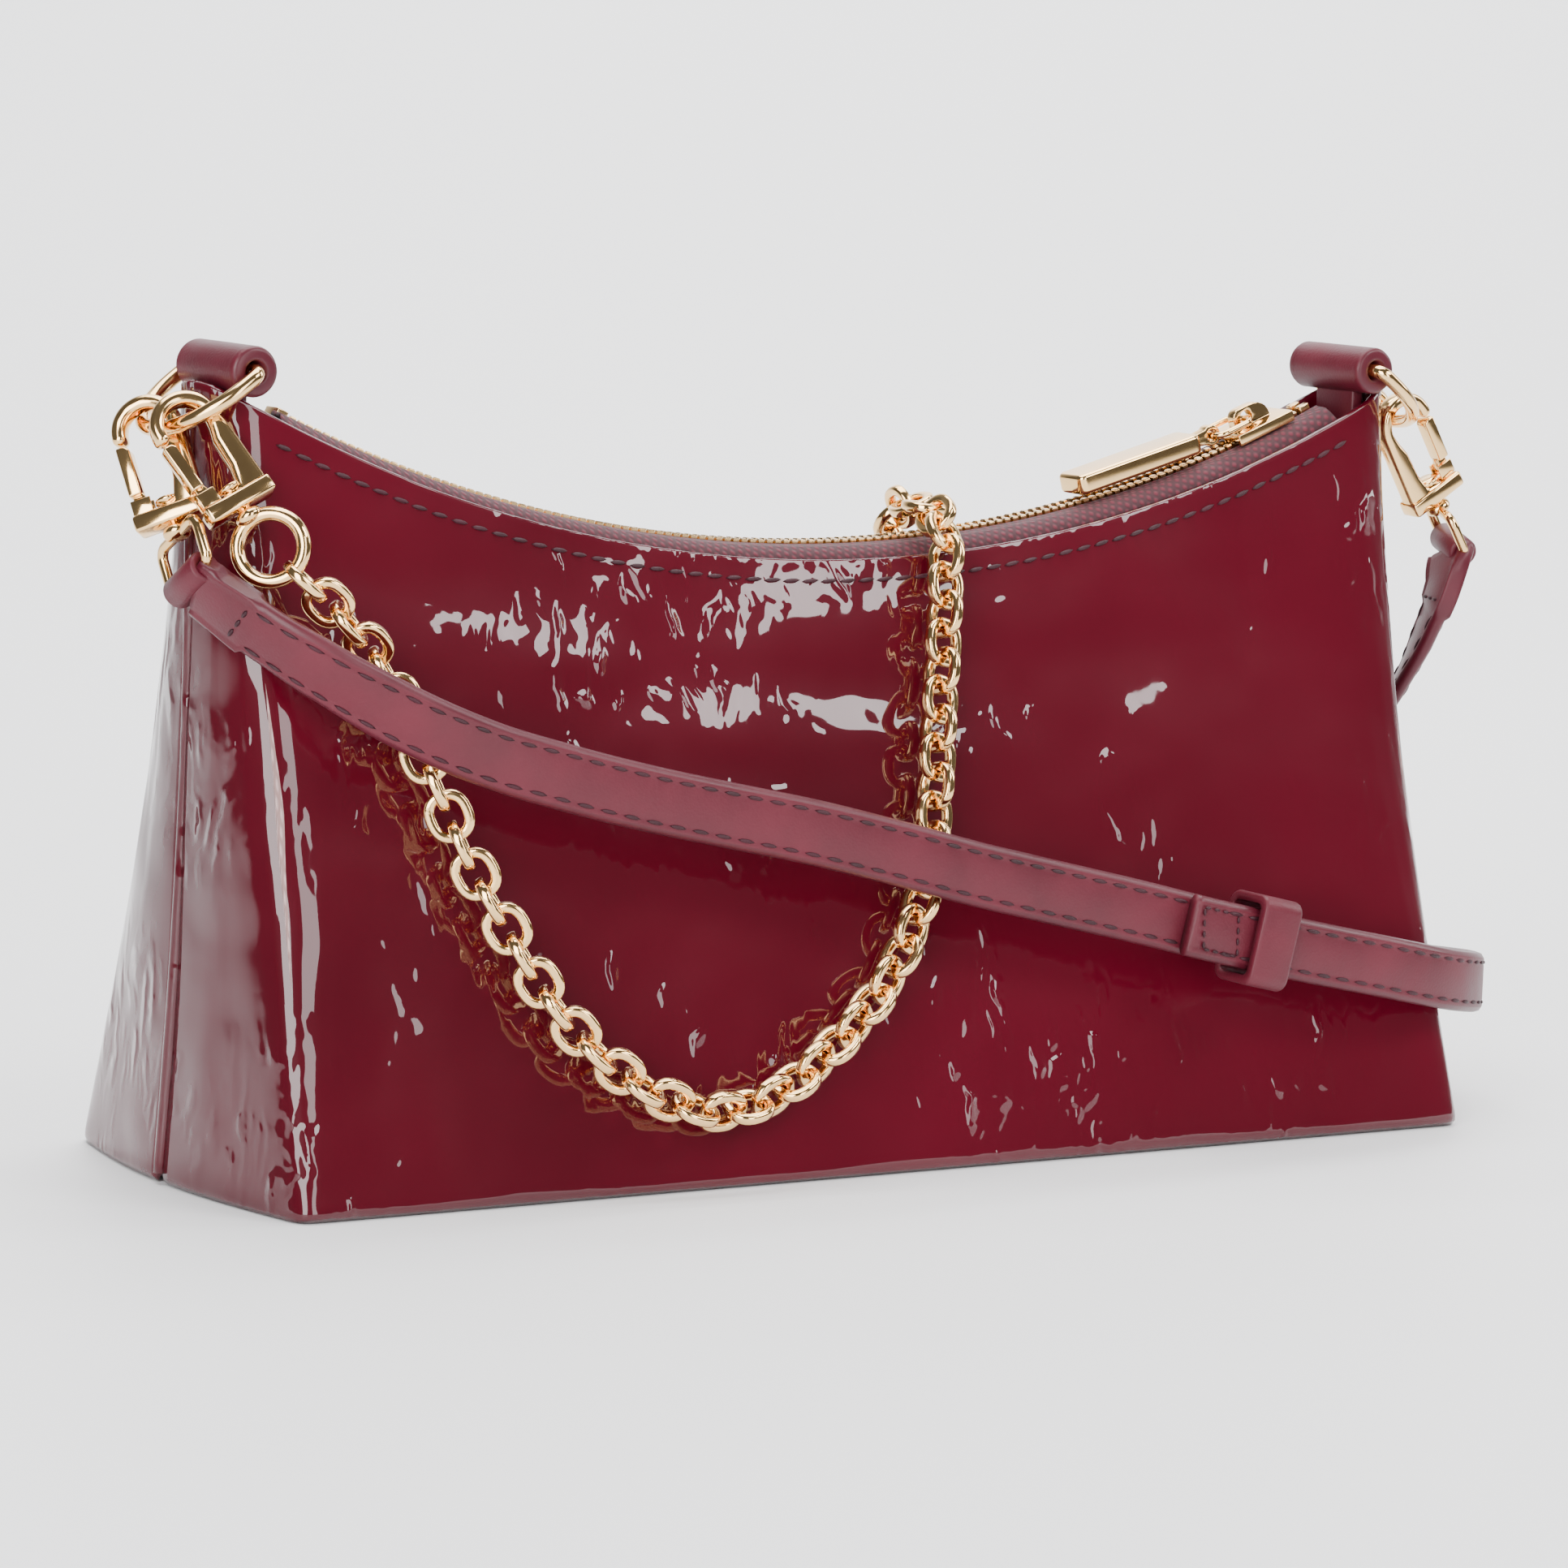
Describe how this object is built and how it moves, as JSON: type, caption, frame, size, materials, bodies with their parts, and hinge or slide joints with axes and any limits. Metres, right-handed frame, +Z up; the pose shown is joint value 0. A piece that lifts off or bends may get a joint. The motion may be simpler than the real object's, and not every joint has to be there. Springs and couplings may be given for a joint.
{
  "type": "clutch purse",
  "caption": "Small zip-top purse in glossy leather with a boxed flat base, corner rings, and a clip-on metal chain and leather strap.",
  "frame": {"origin": "middle of the flat base, on the ground", "axes": "+X to the wearer's right hand side of the front, -Y out of the front face, +Z up"},
  "size_m": [0.3048, 0.1415, 0.1514],
  "materials": {
    "patent": "high gloss patent",
    "strap_leather": "satin",
    "zip_tape": "woven",
    "lining": "woven",
    "board": "plain board",
    "gold": "polished"
  },
  "bodies": {
    "bag": {"front_panel": "patent", "back_panel": "patent", "lining_front": "lining", "lining_back": "lining", "slip_pocket": "lining", "base_panel": "patent", "base_board": "board", "lining_base": "lining", "zip_tape_front": "zip_tape", "zip_tape_back": "zip_tape", "zip_teeth_front": "gold", "zip_teeth_back": "gold", "zip_top_stop_front": "gold", "zip_top_stop_back": "gold", "zip_bottom_stop": "gold", "left_loop": "strap_leather", "right_loop": "strap_leather", "chain_front": "gold", "chain_back": "gold", "strap_left": "strap_leather", "strap_right": "strap_leather"},
    "zip_slider": {"zip_slider": "gold"},
    "pull_ring": {"pull_ring": "gold"},
    "pull_bar": {"pull_bar": "gold"},
    "left_ring_set": {"left_ring": "gold", "left_chain_hook": "gold", "left_chain_gate_pin": "gold", "left_strap_hook": "gold", "left_strap_gate_pin": "gold"},
    "right_ring_set": {"right_ring": "gold", "right_chain_hook": "gold", "right_chain_gate_pin": "gold", "right_strap_hook": "gold", "right_strap_gate_pin": "gold"},
    "strap_keeper": {"strap_keeper": "strap_leather"},
    "left_chain_gate": {"left_chain_gate": "gold"},
    "left_chain_eye": {"left_chain_eye": "gold"},
    "left_strap_gate": {"left_strap_gate": "gold"},
    "left_strap_eye": {"left_strap_eye": "gold"},
    "right_strap_gate": {"right_strap_gate": "gold"},
    "right_strap_eye": {"right_strap_eye": "gold"},
    "right_chain_gate": {"right_chain_gate": "gold"},
    "right_chain_eye": {"right_chain_eye": "gold"}
  },
  "joints": [
    {"name": "zip_travel", "type": "hinge", "parent": "bag", "child": "zip_slider", "pos_m": [0, 0, 0.391], "axis": [0, 1, 0], "range_deg": [0, 36], "deforming": ["chain_front", "chain_back"]},
    {"name": "pull_ring_lift", "type": "hinge", "parent": "zip_slider", "child": "pull_ring", "pos_m": [0.10125, 0, 0.13671], "axis": [0, 1, 0], "range_deg": [0, 95]},
    {"name": "pull_bar_lift", "type": "hinge", "parent": "pull_ring", "child": "pull_bar", "pos_m": [0.0929, 0, 0.13334], "axis": [0, 1, 0], "range_deg": [0, 60]},
    {"name": "left_ring_swing", "type": "hinge", "parent": "bag", "child": "left_ring_set", "pos_m": [-0.125, 0, 0.1468], "axis": [0, 1, 0], "range_deg": [0, 35], "deforming": ["chain_front", "strap_left"]},
    {"name": "right_ring_swing", "type": "hinge", "parent": "bag", "child": "right_ring_set", "pos_m": [0.125, 0, 0.1468], "axis": [0, -1, 0], "range_deg": [0, 35], "deforming": ["chain_back", "strap_right"]},
    {"name": "keeper_slide", "type": "slide", "parent": "bag", "child": "strap_keeper", "axis": [0.974, 0, -0.2267], "range_m": [-0.008, 0.008]},
    {"name": "left_chain_gate_open", "type": "hinge", "parent": "left_ring_set", "child": "left_chain_gate", "pos_m": [-0.13622, -0.01496, 0.12496], "axis": [0.3002, 0.8458, -0.441], "range_deg": [0, 16], "stiffness_Nm_per_rad": 0.002},
    {"name": "left_chain_eye_swivel", "type": "hinge", "parent": "left_ring_set", "child": "left_chain_eye", "pos_m": [-0.137, -0.00842, 0.13697], "axis": [-0.3737, 0.5296, 0.7615], "range_deg": [-12, 12], "deforming": ["chain_front"]},
    {"name": "left_strap_gate_open", "type": "hinge", "parent": "left_ring_set", "child": "left_strap_gate", "pos_m": [-0.14179, -0.00181, 0.12259], "axis": [0.6698, 0.6613, -0.3377], "range_deg": [0, 16], "stiffness_Nm_per_rad": 0.002},
    {"name": "left_strap_eye_swivel", "type": "hinge", "parent": "left_ring_set", "child": "left_strap_eye", "pos_m": [-0.13917, 0.0021, 0.13545], "axis": [-0.0602, 0.5017, 0.8629], "range_deg": [-12, 3], "deforming": ["strap_left"]},
    {"name": "right_strap_gate_open", "type": "hinge", "parent": "right_ring_set", "child": "right_strap_gate", "pos_m": [0.15038, -0.00181, 0.12699], "axis": [0.0266, -0.9987, -0.0424], "range_deg": [0, 16], "stiffness_Nm_per_rad": 0.002},
    {"name": "right_strap_eye_swivel", "type": "hinge", "parent": "right_ring_set", "child": "right_strap_eye", "pos_m": [0.13964, -0.00246, 0.13546], "axis": [-0.5307, -0.0501, 0.8461], "range_deg": [-12, 12], "deforming": ["strap_right"]},
    {"name": "right_chain_gate_open", "type": "hinge", "parent": "right_ring_set", "child": "right_chain_gate", "pos_m": [0.13622, 0.01496, 0.12496], "axis": [-0.3002, -0.8458, -0.441], "range_deg": [0, 16], "stiffness_Nm_per_rad": 0.002},
    {"name": "right_chain_eye_swivel", "type": "hinge", "parent": "right_ring_set", "child": "right_chain_eye", "pos_m": [0.137, 0.00842, 0.13697], "axis": [0.3737, -0.5296, 0.7615], "range_deg": [-12, 12], "deforming": ["chain_back"]}
  ]
}
